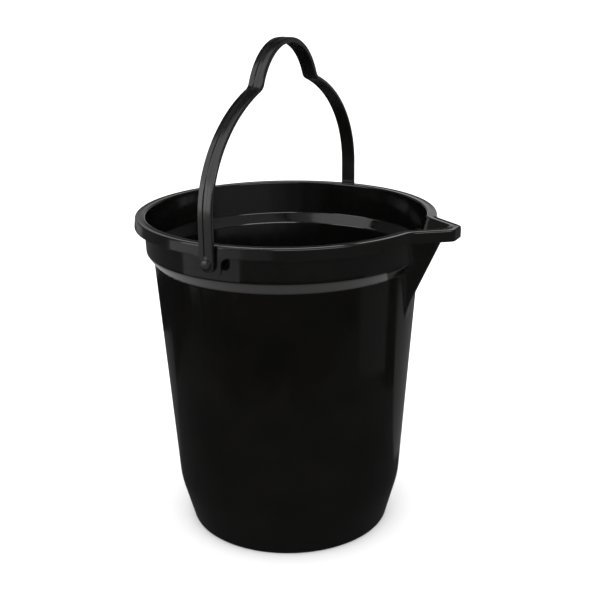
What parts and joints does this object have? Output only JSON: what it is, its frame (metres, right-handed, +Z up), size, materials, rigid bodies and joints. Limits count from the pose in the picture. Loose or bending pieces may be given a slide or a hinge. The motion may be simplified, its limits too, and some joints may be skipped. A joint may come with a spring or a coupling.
{
  "type": "florist bucket",
  "caption": "Round tapered plastic bucket with an upright collar, a turned-down rim, a pouring spout and a strap bail handle with a raised grip that swings on two studs.",
  "frame": {"origin": "on the bucket's axis, in the plane that it stands on, at the middle of the flat base", "axes": "+Z up along the bucket's axis, +X along the spout, Y along the handle's pivot axis with the right stud at +Y"},
  "size_m": [0.3304, 0.315, 0.4971],
  "materials": {
    "shell_plastic": "glossy black moulded polypropylene",
    "handle_plastic": "satin black moulded polypropylene",
    "stud_plastic": "satin black moulded plastic"
  },
  "bodies": {
    "bucket": {"bucket_shell": "shell_plastic", "pivot_stud_left": "stud_plastic", "pivot_stud_right": "stud_plastic"},
    "handle": {"bail_handle": "handle_plastic"}
  },
  "joints": [
    {"name": "handle_swing", "type": "hinge", "parent": "bucket", "child": "handle", "pos_m": [0, 0, 0.3112], "axis": [0, 1, 0], "range_deg": [-121, 121]}
  ]
}
